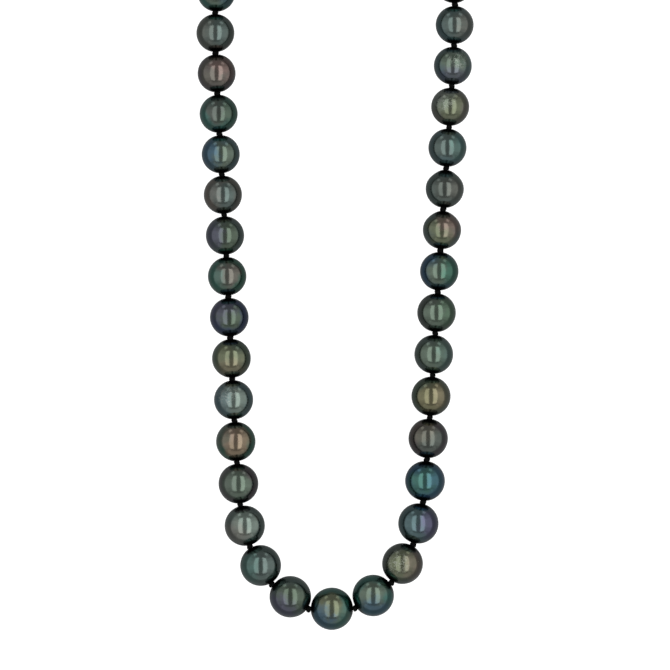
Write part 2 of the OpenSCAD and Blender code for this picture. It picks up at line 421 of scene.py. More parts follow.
class Effects:
    """Node groups that several finishes share, each built once.

    Nacre's patterns see every pearl as a ball of radius 1. Those of metal and silk are in metres. A pair of
    numbers is where a ramp starts and where it is full.
    """

    ORIGIN = (0.0, 0.0, 0.0)
    GREY = (0.1, 0.1, 0.1, 1.0)

    DRIFT_SCALE = 1.1
    CLOUD_SCALE = 2.6
    WANDER = 0.9
    RIM = (0.12, 0.5)
    UNDERSIDE = (0.2, 0.8)
    BLUSH = (0.3, 0.95)
    CLOUD_DEPTH = 0.5
    CLOUD_FLOOR = 0.64
    PAINTED_MOUTH_SHADE = (0.8, 0.92)
    PAINTED_MOUTH_SHADE_DEPTH = 0.93

    CIRCLES_A_RADIUS = 26.0
    CIRCLE_WANDER = 5.0
    CIRCLE_WANDER_SCALE = 1.6
    CIRCLE_DEPTH = 0.25
    PEEL_SCALE = 7.0
    PEEL_DEPTH = 0.6
    PIT_SCALE = 3.4
    PIT_WALL = (0.03, 0.16)
    PIT_DEPTH = 1.6
    WRINKLE_SCALE = 5.5
    WRINKLE_LINE = (0.0, 0.03)
    WRINKLE_PATCH = (0.68, 0.92)
    WRINKLE_DEPTH = 1.4

    SCRATCH_STRETCH = (1.0, 14.0, 5.0)
    SCRATCH_TURN = (0.3, 0.2, 0.7)
    SCRATCH_SCALE = 900.0
    SCRATCH = (0.62, 0.7)
    SCRATCH_ROUGHNESS = 0.16
    HAZE_SCALE = 420.0
    HAZE_ROUGHNESS = 0.12
    HAZE = (0.55, 0.8)

    PLY_SCALE = 1500.0
    PLY_DISTORTION = 3.0
    FUZZ_SCALE = 5200.0
    FUZZ_DEPTH = 0.6
    WORN_FIBRE = (0.9, 1.5)

    @staticmethod
    @cache
    def overtones() -> NodeTree:
        """Body colour of a pearl: a crown and a rim tone that drift into each other, with a blush, and painted
        shade round both drill mouths.
        """
        group, kit, given, result = new_group(
            "nacre_overtones",
            {
                "Place": Effects.ORIGIN,
                "Seed": 0.0,
                "Crown": Effects.GREY,
                "Rim": Effects.GREY,
                "Blush": Effects.GREY,
                "Towards": (1.0, 0.0, 0.0),
                "Blush Amount": 0.5,
                "Drill": (0.0, 1.0, 0.0),
            },
            {"Colour": Effects.GREY},
        )
        shift = kit.fill(kit.node("ShaderNodeCombineXYZ"), {"X": given["Seed"], "Y": given["Seed"]})
        moved = kit.vector("ADD", given["Place"], shift.outputs[0]).outputs[0]
        drift = kit.noise(moved, Effects.DRIFT_SCALE)
        cloud = kit.noise(moved, Effects.CLOUD_SCALE, 3.0, 0.55)
        height = kit.maths("ADD", kit.parts(given["Place"])[2], kit.swing(drift, Effects.WANDER))
        rim_share = kit.ramp(kit.maths("SUBTRACT", 1.0, height), *Effects.RIM)
        under_share = kit.ramp(kit.maths("SUBTRACT", 0.0, height), *Effects.UNDERSIDE)
        tone = kit.mix(rim_share, given["Crown"], given["Rim"])
        tone = kit.mix(under_share, tone, given["Crown"])
        facing = kit.along(given["Place"], given["Towards"])
        facing = kit.maths("ADD", facing, kit.swing(cloud, Effects.WANDER))
        blush = kit.scaled(kit.ramp(facing, *Effects.BLUSH), given["Blush Amount"])
        tone = kit.mix(blush, tone, given["Blush"])
        value = kit.maths("ADD", kit.scaled(cloud, Effects.CLOUD_DEPTH), Effects.CLOUD_FLOOR)
        # Painted shade: the colour darkens round both drill mouths, standing in for the dark neighbours and knots
        # that nacre reflects there
        bore = kit.maths("ABSOLUTE", kit.along(given["Place"], given["Drill"]))
        mouth = kit.scaled(kit.ramp(bore, *Effects.PAINTED_MOUTH_SHADE), Effects.PAINTED_MOUTH_SHADE_DEPTH)
        value = kit.scaled(value, kit.maths("SUBTRACT", 1.0, mouth))
        shade = kit.node("ShaderNodeVectorMath", operation="SCALE")
        kit.link(tone, shade.inputs[0])
        kit.link(value, shade.inputs["Scale"])
        kit.link(shade.outputs[0], result["Colour"])
        return group

    @staticmethod
    @cache
    def nacre_skin() -> NodeTree:
        """Relief of nacre: growth circles round the drill axis, an orange-peel, pits and wrinkles."""
        group, kit, given, result = new_group(
            "nacre_skin",
            {
                "Place": Effects.ORIGIN,
                "Seed": 0.0,
                "Circles": 0.3,
                "Pits": 0.3,
                "Wrinkled": 0.0,
                "Wrinkled Flank": (0.0, 0.0, 1.0),
            },
            {"Height": 0.0, "Pit Mask": 0.0, "Wrinkles": 0.0},
        )
        shift = kit.node("ShaderNodeCombineXYZ")
        for socket in shift.inputs:
            kit.link(given["Seed"], socket)
        moved = kit.vector("ADD", given["Place"], shift.outputs[0]).outputs[0]
        wander = kit.scaled(kit.noise(moved, Effects.CIRCLE_WANDER_SCALE), Effects.CIRCLE_WANDER)
        turns = kit.scaled(kit.parts(given["Place"])[1], Effects.CIRCLES_A_RADIUS)
        waves = kit.maths("SINE", kit.maths("ADD", turns, wander))
        circles = kit.scaled(kit.scaled(waves, Effects.CIRCLE_DEPTH), given["Circles"])
        peel = kit.noise(moved, Effects.PEEL_SCALE, 3.0, 0.6)
        cells = kit.node("ShaderNodeTexVoronoi", feature="F1")
        kit.fill(cells, {"Vector": moved, "Scale": Effects.PIT_SCALE})
        few = kit.node("ShaderNodeTexWhiteNoise", noise_dimensions="3D")
        kit.link(cells.outputs["Position"], few.inputs["Vector"])
        kept = kit.maths("LESS_THAN", few.outputs["Value"], given["Pits"])
        mouth = kit.maths("SUBTRACT", 1.0, kit.ramp(cells.outputs["Distance"], *Effects.PIT_WALL))
        pit = kit.scaled(mouth, kept)
        height = kit.maths("ADD", kit.scaled(peel, Effects.PEEL_DEPTH), circles)
        height = kit.maths("SUBTRACT", height, kit.scaled(pit, Effects.PIT_DEPTH))
        tangle = kit.maths("SUBTRACT", kit.noise(moved, Effects.WRINKLE_SCALE, 3.0, 0.6), 0.5)
        lines = kit.maths("SUBTRACT", 1.0, kit.ramp(kit.maths("ABSOLUTE", tangle), *Effects.WRINKLE_LINE))
        flank = kit.along(given["Place"], given["Wrinkled Flank"])
        patch = kit.scaled(kit.ramp(flank, *Effects.WRINKLE_PATCH), given["Wrinkled"])
        wrinkles = kit.scaled(lines, patch)
        height = kit.maths("ADD", height, kit.scaled(wrinkles, Effects.WRINKLE_DEPTH))
        kit.link(wrinkles, result["Wrinkles"])
        kit.link(height, result["Height"])
        kit.link(pit, result["Pit Mask"])
        return group

    @staticmethod
    @cache
    def worn_metal() -> NodeTree:
        """Handling of polished metal: fine random scratches and a little haze."""
        group, kit, given, result = new_group(
            "worn_metal",
            {"Place": Effects.ORIGIN, "Polish": 0.12},
            {"Roughness": 0.0, "Height": 0.0, "Dulled": 0.0},
        )
        drawn = kit.fill(
            kit.node("ShaderNodeMapping"),
            {"Vector": given["Place"], "Scale": Effects.SCRATCH_STRETCH, "Rotation": Effects.SCRATCH_TURN},
        )
        hair = kit.noise(drawn.outputs[0], Effects.SCRATCH_SCALE, 4.0, 0.7)
        haze = kit.noise(given["Place"], Effects.HAZE_SCALE, 3.0, 0.6)
        rough = kit.maths("ADD", given["Polish"], kit.scaled(haze, Effects.HAZE_ROUGHNESS))
        scratched = kit.scaled(kit.ramp(hair, *Effects.SCRATCH), Effects.SCRATCH_ROUGHNESS)
        kit.link(kit.maths("ADD", rough, scratched), result["Roughness"])
        kit.link(hair, result["Height"])
        kit.link(kit.ramp(haze, *Effects.HAZE), result["Dulled"])
        return group

    @staticmethod
    @cache
    def twisted_ply() -> NodeTree:
        """Silk fibres: fine strands that lean round the thread, with lighter worn fibres between."""
        group, kit, given, result = new_group(
            "twisted_ply",
            {"Place": Effects.ORIGIN},
            {"Height": 0.0, "Fibre": 0.0},
        )
        stripes = kit.node("ShaderNodeTexWave", wave_type="BANDS", bands_direction="DIAGONAL")
        lay = {"Vector": given["Place"], "Scale": Effects.PLY_SCALE, "Distortion": Effects.PLY_DISTORTION}
        kit.fill(stripes, {**lay, "Detail": 2.0})
        fuzz = kit.scaled(kit.noise(given["Place"], Effects.FUZZ_SCALE, 3.0, 0.7), Effects.FUZZ_DEPTH)
        height = kit.maths("ADD", stripes.outputs["Fac"], fuzz)
        kit.link(height, result["Height"])
        kit.link(kit.ramp(height, *Effects.WORN_FIBRE), result["Fibre"])
        return group


# ---------------------------------------------------------------- finishes


class Tone(Enum):
    """Tones that dark nacre shows on its crown, its rim or one flank, as linear colours."""

    SAGE = linear(98, 110, 98)
    MOSS = linear(86, 98, 84)
    GREEN = linear(76, 108, 82)
    KHAKI = linear(110, 112, 88)
    GOLD = linear(122, 114, 84)
    COPPER = linear(134, 112, 92)
    ROSE = linear(130, 102, 98)
    TAUPE = linear(108, 100, 94)
    CHARCOAL = linear(88, 92, 88)
    SILVER = linear(118, 128, 122)
    SLATE = linear(92, 104, 102)
    STEEL = linear(84, 106, 112)
    TEAL = linear(62, 110, 104)
    PEACOCK = linear(54, 104, 88)
    BLUE = linear(54, 90, 120)
    NAVY = linear(58, 70, 106)
    VIOLET = linear(88, 76, 112)
    AUBERGINE = linear(90, 78, 84)


class Flank(Enum):
    """Where a blush lies, as seen from above with the clasp away from the viewer."""

    LEFT = (-0.85, 0.0, 0.5)
    RIGHT = (0.85, 0.0, 0.5)
    NEAR = (0.0, -0.85, 0.5)
    FAR = (0.0, 0.85, 0.5)
    FAR_LEFT = (-0.55, 0.55, 0.6)
    FAR_RIGHT = (0.55, 0.55, 0.6)
    NEAR_LEFT = (-0.6, -0.6, 0.5)
    HIGH_LEFT = (-0.36, 0.12, 0.92)
    HIGH_FAR_LEFT = (-0.36, 0.42, 0.83)
    HIGH_FAR_RIGHT = (0.3, 0.45, 0.84)


NACRE_ROUGHNESS = 0.17
PIT_ROUGHNESS = 0.25
PALE_WRINKLE = (0.36, 0.38, 0.35)
WRINKLE_PALENESS = 0.55


@dataclass(frozen=True)
class NacreFinish:
    """One pearl's nacre.

    Attributes:
        crown: The tone that faces up.
        rim: The tone round its side.
        blush: A third tone that lies on one flank.
        flank: Where the blush lies.
        amount: How strong the blush is.
        circles: How deep its growth circles are.
        pits: Share of its skin's cells that hold a pit.
        scribble: Where a patch of fine wrinkles lies, if it has one.
        strength: How much of their colour its tones keep.
    """

    crown: Tone
    rim: Tone
    blush: Tone
    flank: Flank
    amount: float = 0.5
    circles: float = 0.3
    pits: float = 0.04
    scribble: Flank | None = None
    strength: float = 0.85

    def material(self, name: str, centre: Vector, radius: float, drill: Vector, seed: float) -> Material:
        """Builds this pearl's material.

        Args:
            name: The material's name.
            centre: The pearl's centre.
            radius: The pearl's radius.
            drill: The direction of its drill hole.
            seed: Shifts the patterns, so that no two pearls match.

        Returns:
            The material.
        """
        material, kit = new_material(name)
        # The patterns see every pearl as a ball of radius 1 round the origin
        unit_ball = {
            "Location": tuple(-c / radius for c in centre),
            "Scale": (1 / radius,) * 3,
            "Vector": kit.object_place(),
        }
        place = kit.fill(kit.node("ShaderNodeMapping"), unit_ball).outputs[0]
        tones = kit.node("ShaderNodeGroup", node_tree=Effects.overtones())
        for socket, tone in (("Crown", self.crown), ("Rim", self.rim), ("Blush", self.blush)):
            tones.inputs[socket].default_value = rgba(softened_tone(tone.value, self.strength))
        drift = {"Seed": seed, "Towards": self.flank.value, "Blush Amount": self.amount}
        kit.fill(tones, {**drift, "Drill": tuple(drill), "Place": place})
        skin = kit.node("ShaderNodeGroup", node_tree=Effects.nacre_skin())
        # Half a step from the tones' seed, so that relief and colour don't follow each other
        kit.fill(skin, {"Seed": seed + 0.5, "Circles": self.circles, "Pits": self.pits, "Place": place})
        if self.scribble:
            kit.fill(skin, {"Wrinkled": 1.0, "Wrinkled Flank": self.scribble.value})
        pale = kit.scaled(skin.outputs["Wrinkles"], WRINKLE_PALENESS)
        pitted = kit.scaled(skin.outputs["Pit Mask"], PIT_ROUGHNESS)
        kit.surface(
            {
                "Base Color": kit.mix(pale, tones.outputs["Colour"], rgba(PALE_WRINKLE)),
                "Metallic": 0.99,
                "Roughness": kit.maths("ADD", pitted, NACRE_ROUGHNESS),
                "Coat Weight": 0.3,
                "Coat Roughness": 0.05,
                "Normal": kit.relief(skin.outputs["Height"], strength=0.2, distance=0.03 * MM),
            }
        )
        return material


@dataclass(frozen=True)
class SilkFinish:
    """Black silk thread.

    Attributes:
        dark: The silk's own black.
        worn: Its lighter, worn fibres.
        roughness: How matt the silk is.
        worn_roughness: How much more matt its worn fibres are.
    """

    dark: Colour = linear(2, 2, 2)
    worn: Colour = linear(10, 9, 9)
    roughness: float = 0.8
    worn_roughness: float = 0.15

    def material(self) -> Material:
        """Builds the silk's material."""
        material, kit = new_material("black_silk")
        ply = kit.node("ShaderNodeGroup", node_tree=Effects.twisted_ply())
        kit.link(kit.object_place(), ply.inputs["Place"])
        more_matt = kit.scaled(ply.outputs["Fibre"], self.worn_roughness)
        kit.surface(
            {
                "Base Color": kit.mix(ply.outputs["Fibre"], rgba(self.dark), rgba(self.worn)),
                "Roughness": kit.maths("ADD", more_matt, self.roughness),
                "Specular IOR Level": 0.15,
                "Normal": kit.relief(ply.outputs["Height"], strength=0.6, distance=0.04 * MM),
            }
        )
        return material


@dataclass(frozen=True)
class MetalFinish:
    """Polished white metal, more or less bright.

    Attributes:
        name: The material's name.
        tint: The polished metal's colour.
        dull: Its colour under haze.
        polish: Its roughness where nothing has touched it.
    """

    name: str
    tint: Colour
    dull: Colour
    polish: float

    def material(self) -> Material:
        """Builds the metal's material."""
        material, kit = new_material(self.name)
        wear = kit.node("ShaderNodeGroup", node_tree=Effects.worn_metal())
        kit.fill(wear, {"Place": kit.object_place(), "Polish": self.polish})
        kit.surface(
            {
                "Base Color": kit.mix(wear.outputs["Dulled"], rgba(self.tint), rgba(self.dull)),
                "Metallic": 1.0,
                "Roughness": wear.outputs["Roughness"],
                "Normal": kit.relief(wear.outputs["Height"], strength=0.15, distance=0.01 * MM),
            }
        )
        return material


WHITE_GOLD = MetalFinish("white_gold", (0.80, 0.80, 0.82), (0.66, 0.66, 0.68), 0.08)
COILED_WIRE = MetalFinish("coiled_wire", (0.76, 0.76, 0.78), (0.58, 0.58, 0.6), 0.16)
SPRING_STEEL = MetalFinish("spring_steel", (0.56, 0.57, 0.6), (0.42, 0.43, 0.46), 0.2)


# ---------------------------------------------------------------- pearls


@dataclass
class DrilledPearl:
    """The pearl that every other is copied from: radius 1, its drill hole along its own Z.

    Attributes:
        around: Faces round the drill axis.
        rings: Faces from mouth to mouth.
        lip: How far the mouth is rounded, as a share of the radius.
        seat_depth: Depth of the seat that a knot is drawn into.
        hole: Radius of the drill hole.
    """

    around: int = 72
    rings: int = 48
    lip: float = 0.012
    seat_depth: float = 0.055
    hole: float = 0.082

    def build(self) -> Object:
        """Models the drilled pearl once."""
        rest_nothing_selected()
        bpy.ops.mesh.primitive_uv_sphere_add(segments=self.around, ring_count=self.rings, radius=1.0)
        pearl = newly_made("drilled_pearl")
        mouth = math.cos(2 * math.pi / self.rings)
        only(pearl)
        select_where(pearl, lambda face: abs(face.center.z) > mouth, "FACE")
        bpy.ops.mesh.delete(type="FACE")
        bpy.ops.object.mode_set(mode="OBJECT")
        for end in (1, -1):
            self._sink_seat(pearl, end, mouth)
        select_where(pearl, lambda vertex: vertex.co.xy.length < self.hole * 1.02, "VERT")
        bpy.ops.mesh.bridge_edge_loops()
        bpy.ops.object.mode_set(mode="OBJECT")
        face_outwards(pearl)
        only(pearl)
        bpy.ops.object.shade_smooth_by_angle(angle=math.radians(40))
        return pearl

    def _sink_seat(self, pearl: Object, end: int, mouth: float) -> None:
        """Rounds one mouth of the drill hole and sinks the seat for its knot.

        Args:
            pearl: The pearl.
            end: 1 for the mouth at +Z, -1 for the one at -Z.
            mouth: How high the mouth's edge is.
        """
        select_where(pearl, lambda vertex: abs(vertex.co.z * end - mouth) < 1e-4, "VERT")
        width = math.sqrt(1 - mouth * mouth)
        # Over the rounded lip, down the seat's wall, then in to the drill hole
        steps = [
            (width - self.lip * 0.6, mouth - self.lip * 0.3),
            (width - self.lip, mouth - self.lip),
            (width - self.lip * 1.4, mouth - self.seat_depth),
            (self.hole, mouth - self.seat_depth * 1.2),
        ]
        last_width, last_height = width, mouth
        for step_width, step_height in steps:
            bpy.ops.mesh.extrude_edges_move()
            share = step_width / last_width
            bpy.ops.transform.resize(value=(share, share, 1.0), center_override=(0.0, 0.0, 0.0))
            bpy.ops.transform.translate(value=(0.0, 0.0, end * (step_height - last_height)))
            last_width, last_height = step_width, step_height
        bpy.ops.object.mode_set(mode="OBJECT")


@dataclass(frozen=True)
class Shape:
    """How one pearl departs from a perfect ball.

    Attributes:
        uneven: Share of the radius that slow swells take.
        point: Share by which the shoulders at its far mouth fall away, as on a drop.
    """

    uneven: float = 0.006
    point: float = 0.0


# Points of the unit pearl nearer its middle than this are in the drill hole, and keep their place
SKIN_FROM = 0.97
SWELL_SCALE = 0.9
SHOULDER_FULLNESS = 2.6


@dataclass
class Pearl:
    """One pearl of the strand.

    Attributes:
        node: Its CAD node.
        body: The body it rides on.
        slot: The record's material slot, not used.
        start: The knot that it hangs from, nearer the centre pearl.
        end: The knot past it.
        finish: Its nacre.
        shape: Its departure from a ball.
        seed: Makes its patterns its own.
    """

    node: str
    body: str
    slot: str
    start: Vector
    end: Vector
    finish: NacreFinish
    shape: Shape
    seed: float

    @property
    def radius(self) -> float:
        """The pearl's radius: half its height above the surface."""
        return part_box(self.node)[1].z / 2

    @property
    def centre(self) -> Vector:
        """The pearl's centre."""
        low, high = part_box(self.node)
        return Vector(((low.x + high.x) / 2, (low.y + high.y) / 2, self.radius))

    @property
    def axis(self) -> Vector:
        """The direction of its drill hole."""
        return (self.end - self.start).normalized()

    def build(self, master: Object) -> Object:
        """Copies the drilled pearl, gives it its own shape and dresses it.

        Args:
            master: The drilled pearl.

        Returns:
            The finished pearl.
        """
        piece = own_copy(master, f"{self.node}_nacre", Matrix.Identity(4))
        self._shape(piece)
        piece.data.transform(aim(self.centre, self.axis) @ Matrix.Scale(self.radius, 4))
        piece.data.update()
        nacre = self.finish.material(piece.name, self.centre, self.radius, self.axis, self.seed)
        return hand_over(piece, nacre, self.body, self.node)

    def _shape(self, piece: Object) -> None:
        """Swells and hollows the unit pearl slightly, away from its drill mouths."""
        shift = Vector((self.seed, -self.seed, 0.5 * self.seed))
        for vertex in piece.data.vertices:
            place = vertex.co
            if place.length < SKIN_FROM:
                continue
            lean = place.normalized()
            clear_of_mouth = 1 - lean.z**8
            swell = noise(lean * SWELL_SCALE + shift) * self.shape.uneven * clear_of_mouth
            shoulder = max(0.0, lean.z) ** 3 * (1 - lean.z**2) * SHOULDER_FULLNESS
            place *= 1 - abs(swell) - self.shape.point * shoulder


# ---------------------------------------------------------------- silk


@dataclass
class SilkKnot:
    """An overhand knot drawn tight, its thread along its own Z, modelled once in millimetres.

    Attributes:
        spread: How far the knot's three turns lie from its axis.
        rise: Half the height between its turns.
        thread: Radius of the doubled thread in it.
        along: Points along its line.
    """

    spread: float = 0.18
    rise: float = 0.30
    thread: float = 0.36
    along: int = 54

    def build(self) -> Object:
        """Models the knot."""
        path = []
        for step in range(self.along):
            turn = 2 * math.pi * step / self.along
            x = self.spread * (math.sin(turn) + 2 * math.sin(2 * turn))
            y = self.spread * (math.cos(turn) - 2 * math.cos(2 * turn))
            path.append(MM * Vector((x, y, -self.rise * math.sin(3 * turn))))
        return tube("silk_knot", path, self.thread * MM, 10, closed=True)


@dataclass
class SilkThread:
    """Two threads twisted together, along its own Z, modelled once for a length of 1.

    Attributes:
        turns: Twists over the length.
        offset: How far each thread lies from the axis.
        radius: Radius of each thread.
        along: Steps along the length.
    """

    turns: float = 5.0
    offset: float = 0.14 * MM
    radius: float = 0.15 * MM
    along: int = 60

    def build(self, length: float) -> Object:
        """Models the pair of threads over a length that starts at the origin.

        Args:
            length: How long the pair is.

        Returns:
            The pair, as one piece.
        """
        strands = []
        for phase in (0.0, math.pi):
            path = []
            for step in range(self.along + 1):
                share = step / self.along
                turn = phase + 2 * math.pi * self.turns * share
                side = Vector((math.cos(turn), math.sin(turn), 0)) * self.offset
                path.append(side + Vector((0, 0, length * share)))
            strands.append(tube("silk_ply", path, self.radius, 8))
        rest_nothing_selected()
        for strand in strands:
            strand.select_set(True)
        bpy.context.view_layer.objects.active = strands[0]
        bpy.ops.object.join()
        return bpy.context.object


@dataclass
class EndLoop:
    """The loop of silk at one end of the strand, inside its sleeve of coiled wire.

    Attributes:
        side: left or right.
        centre: The middle of the loop.
        away: The direction in which the strand leaves the last pearl.
        radius: Radius of the loop.
        sleeve: Outer radius of the coiled sleeve.
        wire: Radius of the sleeve's own wire.
        silk: Radius of the silk in it.
        open_angle: How much of the loop the sleeve leaves bare, in degrees.
        coils: Turns of wire in the sleeve.
        steps_a_coil: Points on each turn of the wire.
        steps: Points round the loop of silk.
    """

    side: str
    centre: Vector
    away: Vector
    radius: float = 1.12 * MM
    sleeve: float = 0.36 * MM
    wire: float = 0.055 * MM
    silk: float = 0.2 * MM
    open_angle: float = 70.0
    coils: int = 44
    steps_a_coil: int = 12
    steps: int = 48

    def _round(self, angle: float) -> Vector:
        """A direction in the loop's plane, from the one away from the pearl."""
        sideways = Vector((-self.away.y, self.away.x, 0))
        return self.away * math.cos(angle) + sideways * math.sin(angle)

    def build_silk(self, material: Material, body: str) -> Object:
        """The loop of silk.

        Args:
            material: The silk's material.
            body: The body that the loop rides on.

        Returns:
            The finished loop.
        """
        turns = (2 * math.pi * step / self.steps for step in range(self.steps))
        path = [self.centre + self._round(turn) * self.radius for turn in turns]
        piece = tube(f"silk_loop_{self.side}", path, self.silk, 8, closed=True)
        return hand_over(piece, material, body, "silk_cord")

    def build_sleeve(self, material: Material, body: str) -> Object:
        """The sleeve: one fine wire wound round the loop from end to end.

        Args:
            material: The wire's material.
            body: The body that the sleeve rides on.

        Returns:
            The finished sleeve.
        """
        half = math.pi - math.radians(self.open_angle) / 2
        wound = self.sleeve - self.wire
        path = []
        count = self.coils * self.steps_a_coil
        for step in range(count + 1):
            share = step / count
            angle = -half + 2 * half * share
            turn = 2 * math.pi * self.coils * share
            out = self._round(angle)
            middle = self.centre + out * self.radius
            path.append(middle + wound * (out * math.cos(turn) + Vector((0, 0, 1)) * math.sin(turn)))
        piece = tube(f"gimp_{self.side}_coil", path, self.wire, 6)
        return hand_over(piece, material, body, f"gimp_{self.side}")


# ---------------------------------------------------------------- clasp


@dataclass
class Clasp:
    """The trigger clasp, its two rings, its pin and its spring.

    Attributes:
        tail: The hinge of the clasp on its ring.
        pin: The lever's hinge.
        ring_end: The hinge of the ring in the strand's left end.
        catch_end: The hinge of the catch ring in the strand's right end.
        metal: The polished metal.
        steel: The spring's metal.
        edge: Radius of its softened edges.
        flat_within: Degrees that a casting's facets may differ by and still be one face.
        sharp_from: Degrees from which an outer corner is rounded.
        seam_at: Where a ring is soldered, in degrees round it.
        seam_width: How wide the seam is, in radians round the ring.
        seam_depth: How much thinner the wire is at its seam.
        peening: How far the pin's ends are rounded, as a share of its radius.
        spring_radius: Radius of the spring's coils.
        spring_wire: Radius of the spring's wire.
        spring_turns: Coils in the spring.
    """

    tail: Vector
    pin: Vector
    ring_end: Vector
    catch_end: Vector
    metal: Material
    steel: Material
    edge: float = 0.14 * MM
    flat_within: float = 1.5
    sharp_from: float = 30.0
    seam_at: float = 100.0
    seam_width: float = 0.06
    seam_depth: float = 0.07
    peening: float = 0.35
    spring_radius: float = 0.66 * MM
    spring_wire: float = 0.09 * MM
    spring_turns: int = 3

    @property
    def way(self) -> Vector:
        """The direction along the clasp, from the left end of the strand to the right end."""
        run = self.catch_end - self.ring_end
        return Vector((run.x, run.y, 0)).normalized()

    def softened(self, node: str, body: str, edge: float) -> Object:
        """A cast part: the node's own outline with its edges rounded off.

        Args:
            node: The CAD node.
            body: The body that the part rides on.
            edge: Radius of the rounding.

        Returns:
            The finished part.
        """
        rest_nothing_selected()
        piece = own_copy(frame["nodes"][node], f"{node}_cast", Matrix.Identity(4))
        face_outwards(piece)
        bpy.ops.object.mode_set(mode="EDIT")
        bpy.ops.mesh.select_all(action="SELECT")
        bpy.ops.mesh.dissolve_limited(angle_limit=math.radians(self.flat_within))
        bpy.ops.object.mode_set(mode="OBJECT")
        self._mark_outer_edges(piece, math.radians(self.sharp_from))
        rounding = piece.modifiers.new("rounding", "BEVEL")
        rounding.width = edge
        rounding.segments = 3
        rounding.limit_method = "WEIGHT"
        apply_modifiers(piece)
        bpy.ops.object.shade_smooth_by_angle(angle=math.radians(32))
        flats = piece.modifiers.new("flat_faces", "WEIGHTED_NORMAL")
        flats.keep_sharp = True
        apply_modifiers(piece)
        return hand_over(piece, self.metal, body, node)

    @staticmethod
    def _mark_outer_edges(piece: Object, least: float) -> None:
        """Marks the edges to be rounded: outer corners only, so that no inner corner is filled.

        Args:
            piece: The part.
            least: The least angle between an edge's two faces.
        """
        shape = bmesh.new()
        shape.from_mesh(piece.data)
        weight = shape.edges.layers.float.new("bevel_weight_edge")
        for edge in shape.edges:
            if len(edge.link_faces) == 2 and edge.calc_face_angle_signed() > least:
                edge[weight] = 1.0
        shape.to_mesh(piece.data)
        shape.free()

    def ring(self, node: str, body: str, near: Vector, span: float, wire: float) -> Object:
        """A soldered wire ring standing on edge along the clasp.

        Args:
            node: The CAD node.
            body: The body that the ring rides on.
            near: The middle of the wire at its end nearer the left arm.
            span: Distance between the wires at its two sides.
            wire: Radius of its wire.

        Returns:
            The finished ring.
        """
        rest_nothing_selected()
        bpy.ops.mesh.primitive_torus_add(
            major_radius=span / 2, minor_radius=wire, major_segments=72, minor_segments=16
        )
        piece = newly_made(f"{node}_wire")
        for vertex in piece.data.vertices:
            angle = math.atan2(vertex.co.y, vertex.co.x) - math.radians(self.seam_at)
            seam = math.exp(-((angle / self.seam_width) ** 2))
            middle = Vector((vertex.co.x, vertex.co.y, 0)).normalized() * span / 2
            vertex.co = middle + (vertex.co - middle) * (1 - self.seam_depth * seam)
        across = Vector((0, 0, 1)).cross(self.way)
        piece.matrix_basis = aim(near + self.way * span / 2, across)
        settle(piece)
        only(piece)
        bpy.ops.object.shade_smooth()
        return hand_over(piece, self.metal, body, node)

    def rivet(self) -> Object:
        """The lever's pin, with both its ends peened over."""
        low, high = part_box("clasp_pin")
        radius = (high.x - low.x) / 2
        rest_nothing_selected()
        middle = (self.pin.x, self.pin.y, (low.z + high.z) / 2)
        bpy.ops.mesh.primitive_cylinder_add(vertices=32, radius=radius, depth=high.z - low.z, location=middle)
        piece = settle(newly_made("clasp_pin_rivet"))
        select_where(piece, lambda face: abs(face.normal.z) > 0.9, "FACE")
        bpy.ops.mesh.bevel(offset=radius * self.peening, segments=4, affect="EDGES")
        bpy.ops.object.mode_set(mode="OBJECT")
        bpy.ops.object.shade_smooth_by_angle(angle=math.radians(35))
        return hand_over(piece, self.metal, "clasp", "clasp_pin")

    def coil_spring(self) -> Object:
        """The spring round the pin, wound in one helix."""
        low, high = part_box("clasp_spring")
        height = high.z - low.z - 2 * self.spring_wire
        middle = Vector((self.pin.x, self.pin.y, low.z + self.spring_wire))
        steps = 24 * self.spring_turns
        path = []
        for step in range(steps + 1):
            share = step / steps
            turn = 2 * math.pi * self.spring_turns * share + math.pi
            out = self.spring_radius * Vector((math.cos(turn), math.sin(turn), 0))
            path.append(middle + out + Vector((0, 0, height * share)))
        piece = tube("clasp_spring_coil", path, self.spring_wire, 8)
        return hand_over(piece, self.steel, "clasp", "clasp_spring")

    def build(self) -> list[Object]:
        """Builds every part of the clasp."""
        ring_span = (self.tail - self.ring_end).length
        catch_wire, catch_span = self._wire_and_span(*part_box("catch_ring"))
        ring_wire, _ = self._wire_and_span(*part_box("clasp_ring"))
        catch_near = self.catch_end - self.way * catch_span
        return [
            self.softened("clasp_body", "clasp", self.edge),
            self.softened("clasp_lever", "lever", self.edge * 0.8),
            self.ring("clasp_ring", "clasp_ring", self.ring_end, ring_span, ring_wire),
            self.ring("catch_ring", "catch_ring", catch_near, catch_span, catch_wire),
            self.rivet(),
            self.coil_spring(),
        ]

    def _wire_and_span(self, low: Vector, high: Vector) -> tuple[float, float]:
        """A standing ring's wire radius and span, from its box.

        Args:
            low: The box's lowest corner.
            high: The box's highest corner.

        Returns:
            The wire's radius and the distance between the wires.
        """
        tall = high.z - low.z
        wide = high.y - low.y
        slant = abs(self.way.y)
        wire = (wide - slant * tall) / (2 * (1 - slant))
        return wire, tall - 2 * wire


# ---------------------------------------------------------------- strand


